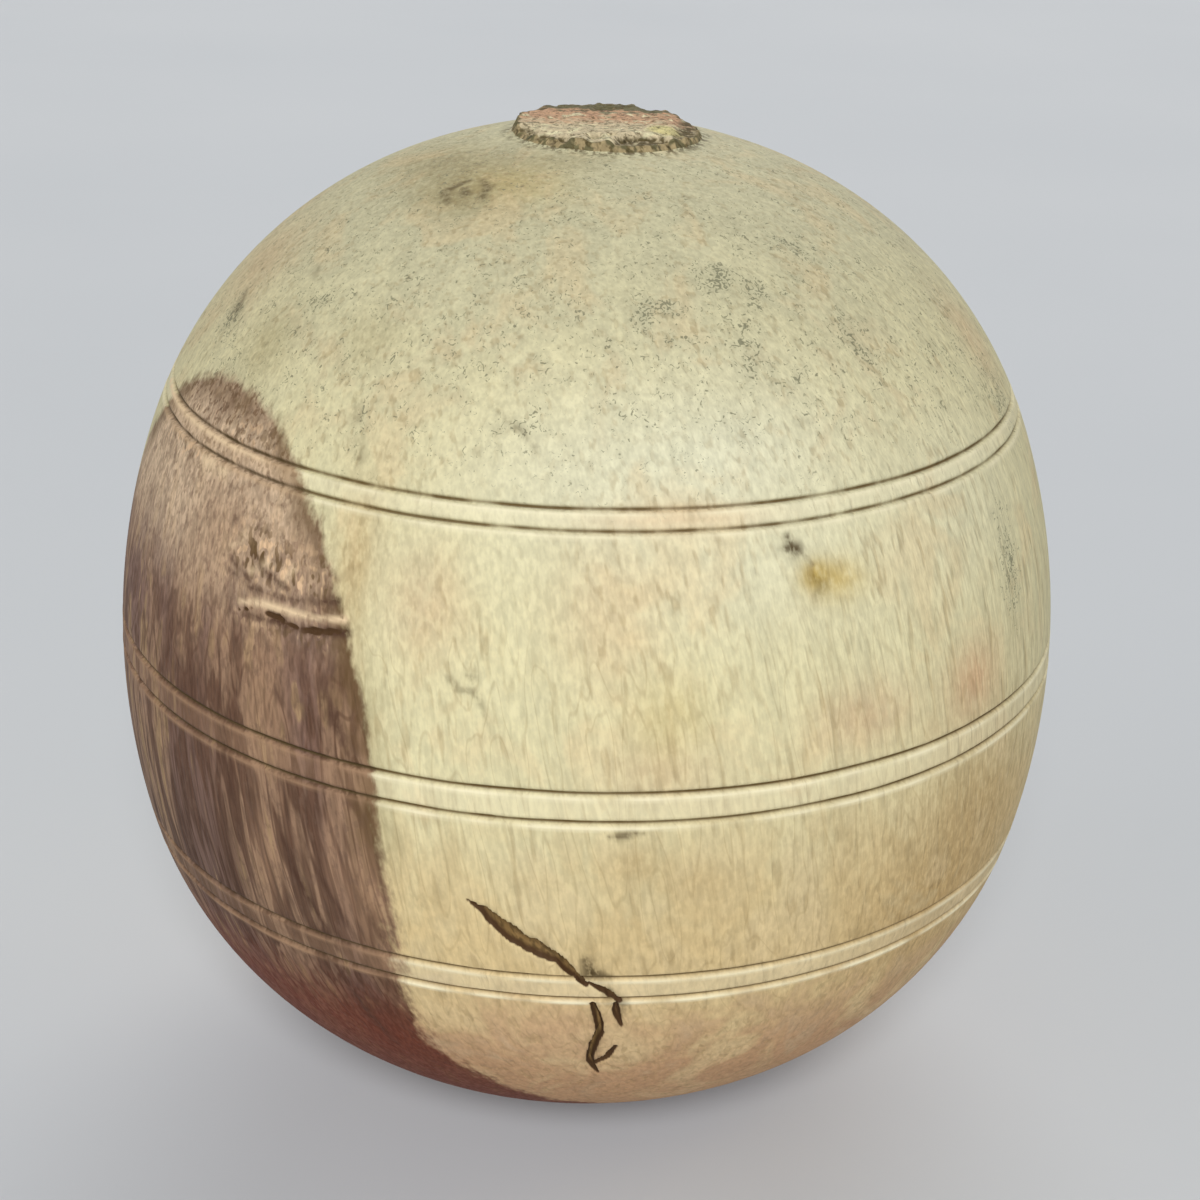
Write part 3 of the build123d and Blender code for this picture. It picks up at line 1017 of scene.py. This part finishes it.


# Marks, the painted shade round the nib's foot, and the cracks with a dark rim and a lighter bed
def marksOver(tree, colour, wood, inHeart):
    broken = remap(tree, wood["Mottle"], 0.36, 0.56, 0.55, 1.0)
    whole = remap(tree, wood["Mottle"], 0.68, 0.48, 0.45, 1.0)
    colour = mix(tree, times(tree, carriedValue(tree, "lightMark"), whole), colour, markLook["flake"])
    stain = mix(tree, inHeart, markLook["stain"], markLook["heartStain"])
    colour = mix(tree, times(tree, carriedValue(tree, "darkMark"), broken), colour, stain)
    # Painted shade where the nib's foot meets the crown, in the stain colour
    footShade = times(tree, carriedValue(tree, "nibFoot"), remap(tree, wood["Mottle"], 0.42, 0.62, 0.0, 0.8))
    colour = mix(tree, footShade, colour, markLook["stain"])
    crack = carriedValue(tree, "crackDepth")
    colour = mix(tree, remap(tree, crack, 0.02, 0.14), colour, markLook["crackRim"])
    bed = shaded(tree, markLook["crackBed"], remap(tree, wood["Fibres"], 0.38, 0.62, 1.15, 0.62))
    return mix(tree, remap(tree, crack, 0.35, 0.75), colour, bed)


def turnedWood(fibre, specks):
    finish = woodFinish
    material, tree = newMaterial("turnedWood")
    grain = grainVector(tree, finish["fibreLean"])
    height = placeInMm(tree)["Z"]
    wood = useGroup(tree, fibre, {"Grain": grain, "Length": finish["fibreLength"]})
    coarseSize = {"Grain": grain, "Length": finish["coarseLength"], "Width": finish["coarseWidth"]}
    coarse = useGroup(tree, fibre, coarseSize)
    sapwood = mouldOver(tree, sapwoodColour(tree, wood, height), specks, grain, height)
    heart = heartwoodColour(tree, coarse, wood, height)
    depth = raggedDepth(tree, wood, height)
    colour, inHeart = heartOver(tree, sapwood, heart, wood, depth, height)
    colour = linesOver(tree, colour, inHeart, height)
    colour = marksOver(tree, colour, wood, inHeart)
    roughness = remap(tree, wood["Fibres"], 0.2, 0.8, finish["smoothest"], finish["roughest"])
    finishWood(tree, finish, colour, roughness, wood["Height"])
    return material


nibLook = {
    "cream": paint(216, 200, 164),
    "pink": paint(206, 166, 132),
    "rim": paint(112, 106, 76),
    # low: dark for the painted shade in the end's hollows and the painted shadows, and for the dirt specks
    "low": paint(88, 76, 46),
    "flake": paint(236, 228, 186),
    "yellow": paint(224, 212, 152),
    "wall": paint(172, 154, 116),
    "yellowPlace": (5.3, -2.8, 1.9),  # across, back and radius of the yellow patch
    "fibreLength": 1.5,
    "fibreWidth": 1.4,
    "dirtCover": 0.12,
    "roughness": 0.85,
    "specular": 0.2,
    "bump": 0.9,
    "bumpHeight": 0.0002,
}


def sawnWood(fibre, specks):
    look = nibLook
    material, tree = newMaterial("sawnWood")
    grain = grainVector(tree, woodFinish["fibreLean"])
    fibreSize = {"Grain": grain, "Length": look["fibreLength"], "Width": look["fibreWidth"]}
    wood = useGroup(tree, fibre, fibreSize)
    place = placeInMm(tree)
    drift = remap(tree, wood["Streaks"], 0.3, 0.7, -1.4, 1.4)
    back = calc(tree, "ADD", place["Y"], drift)
    colour = mix(tree, remap(tree, back, -2.2, 0.6), look["cream"], look["pink"])
    flakes = remap(tree, wood["Streaks"], 0.54, 0.64, 0.0, 0.8)
    colour = mix(tree, flakes, colour, look["flake"])
    colour = mix(tree, remap(tree, back, 3.6, 5.2), colour, look["rim"])
    yellowX, yellowY, yellowRadius = look["yellowPlace"]
    across = calc(tree, "SUBTRACT", place["X"], yellowX)
    aside = calc(tree, "SUBTRACT", place["Y"], yellowY)
    gap = calc(tree, "SQRT", calc(tree, "ADD", times(tree, across, across), times(tree, aside, aside)))
    colour = mix(tree, remap(tree, gap, yellowRadius, 0.5 * yellowRadius), colour, look["yellow"])
    end = carriedValue(tree, "nibEnd")
    wall = mix(tree, remap(tree, wood["Flecks"], 0.44, 0.58), look["wall"], look["rim"])
    colour = mix(tree, remap(tree, end, 0.9, 0.3), colour, wall)
    # Painted shade in the low places of the sawn end, such as the chips and dents
    sunkenShade = remap(tree, place["Z"], 42.60, 42.25, 0.0, 0.95)
    flat = remap(tree, end, 0.2, 0.9, 0.15, 1.0)
    patchy = remap(tree, wood["Mottle"], 0.35, 0.55, 0.35, 1.0)
    colour = mix(tree, times(tree, sunkenShade, flat, patchy), colour, look["low"])
    shadows = remap(tree, wood["Mottle"], 0.54, 0.64, 0.0, 0.7)
    colour = mix(tree, shadows, colour, look["low"])
    dirt = useGroup(tree, specks, {"Grain": grain, "Patch": 0.7, "Cover": look["dirtCover"]})
    colour = mix(tree, times(tree, dirt["Specks"], 0.7), colour, look["low"])
    colour = shaded(tree, colour, remap(tree, wood["Fibres"], 0.35, 0.66, 1.08, 0.85))
    finishWood(tree, look, colour, look["roughness"], wood["Height"])
    return material


floorLook = {
    "halfSide": 12.0,
    "darker": paint(206, 210, 214),
    "lighter": paint(214, 217, 220),
    "cloudScale": 9.0,
    "roughness": 0.9,
}


def buildFloor():
    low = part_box("turned_ball")[0].z
    mesh = bpy.data.meshes.new("floor")
    side = floorLook["halfSide"]
    corners = [(-side, -side, low), (side, -side, low), (side, side, low), (-side, side, low)]
    mesh.from_pydata(corners, [], [(0, 1, 2, 3)])
    floor = addObject("floor", mesh)
    material, tree = newMaterial("paleFloor")
    place = addNode(tree, "ShaderNodeTexCoord").outputs["Object"]
    cloud = noiseNode(tree, stretched(tree, place, (floorLook["cloudScale"],) * 3), 3.0)
    shader = tree.nodes["Principled BSDF"]
    plug(tree, shader.inputs["Base Color"], mix(tree, cloud, floorLook["darker"], floorLook["lighter"]))
    shader.inputs["Roughness"].default_value = floorLook["roughness"]
    mesh.materials.append(material)


# Broad lamps far off: turn from the front, elevation, spread in degrees and strength
lamps = {
    "key": (0.0, 34.0, 24.0, 2.55),
    "left": (-70.0, 25.0, 40.0, 0.18),
    "back": (172.0, 35.0, 45.0, 0.95),
}
roomLight = 0.16
seenBackground = 0.9  # what the camera and reflections see of the room, where 1 is white


def buildLights():
    for name, (turn, elevation, spread, strength) in lamps.items():
        lamp = bpy.data.lights.new(name, "SUN")
        lamp.angle = radians(spread)
        lamp.energy = strength
        holder = addObject(name, lamp)
        level = cos(radians(elevation))
        holder.location = (level * sin(radians(turn)), -level * cos(radians(turn)), sin(radians(elevation)))
        holder.rotation_euler = (-holder.location).to_track_quat("-Z", "Y").to_euler()
    world = bpy.data.worlds.new("paleRoom")
    bpy.context.scene.world = world
    world.use_nodes = True
    tree = world.node_tree
    path = addNode(tree, "ShaderNodeLightPath").outputs
    seen = calc(tree, "ADD", path["Is Camera Ray"], path["Is Glossy Ray"])
    seen = calc(tree, "MINIMUM", calc(tree, "ADD", seen, path["Is Transmission Ray"]), 1.0)
    strength = remap(tree, seen, 0.0, 1.0, roomLight, seenBackground)
    plug(tree, tree.nodes["Background"].inputs["Color"], (1.0, 1.0, 1.0, 1.0))
    plug(tree, tree.nodes["Background"].inputs["Strength"], strength)


# Where the camera is, in degrees and millimetres, and the picture that it frames, in pixels
view = {
    "elevation": 22.72,
    "distance": 206.6,
    "roll": 1.53,
    "focalPixels": 2358.4,
    "middle": (586.6, 609.6),  # where the ball's middle falls in the picture
    "pictureSide": 1200,
    "sensor": 36.0,
}


def buildCamera():
    tilt, roll = radians(view["elevation"]), radians(view["roll"])
    away = view["distance"] * mm
    camera = bpy.data.cameras.new("camera")
    holder = addObject("camera", camera)
    place = Vector((0.0, -away * cos(tilt), away * sin(tilt)))
    right, back = Vector((1.0, 0.0, 0.0)), place.normalized()
    up = back.cross(right)
    pictureRight = right * cos(roll) + up * sin(roll)
    pictureUp = up * cos(roll) - right * sin(roll)
    turned = Matrix((pictureRight, pictureUp, back)).transposed().to_4x4()
    holder.matrix_world = Matrix.Translation(place) @ turned
    side = view["pictureSide"]
    camera.sensor_width = view["sensor"]
    camera.lens = view["focalPixels"] / side * view["sensor"]
    camera.shift_x = (side / 2 - view["middle"][0]) / side
    camera.shift_y = (view["middle"][1] - side / 2) / side
    camera.clip_start = 0.01
    bpy.context.scene.camera = holder


ball = buildBall()
fibre, specks = fibreGroup(), speckGroup()
ball.data.materials.append(turnedWood(fibre, specks))
ball.data.materials.append(sawnWood(fibre, specks))
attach(ball, "root")
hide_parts("turned_ball")
print("wood is on")

buildFloor()
buildLights()
buildCamera()
bpy.context.scene.view_settings.view_transform = "Standard"
print("floor, lights and camera are in")
